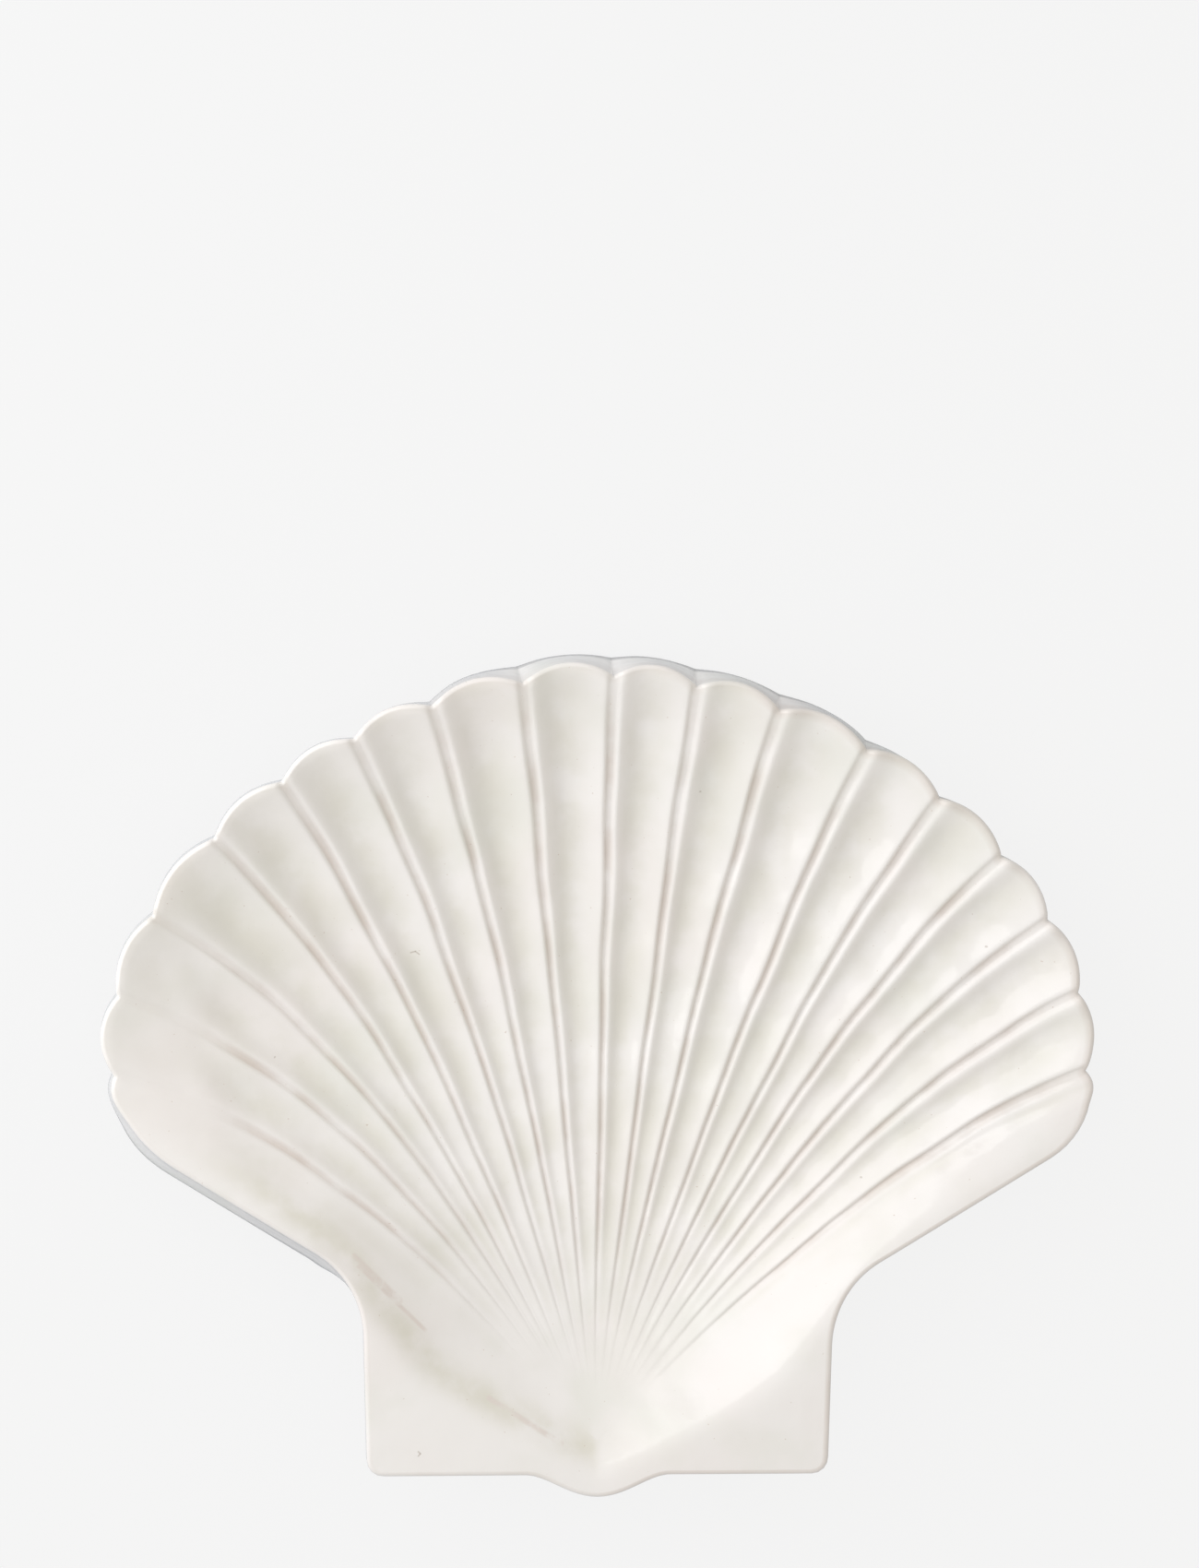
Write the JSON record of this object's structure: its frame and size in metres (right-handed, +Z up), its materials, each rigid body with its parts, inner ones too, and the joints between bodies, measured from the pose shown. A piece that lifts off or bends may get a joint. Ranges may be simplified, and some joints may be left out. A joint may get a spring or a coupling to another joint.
{
  "type": "shell shaped platter",
  "caption": "Scallop shell shaped serving platter: a shallow fluted bowl with a scalloped rim, flat ears and a small beak, on a low foot ring.",
  "frame": {"origin": "on the resting plane, below the middle of the dish's bounding box", "axes": "+Z up, +X across the dish, +Y from the beak towards the scalloped edge"},
  "size_m": [0.3016, 0.255, 0.0339],
  "materials": {
    "white_glaze": "warm white gloss glaze on earthenware"
  },
  "bodies": {
    "root": {"shell_platter": "white_glaze"}
  },
  "joints": []
}
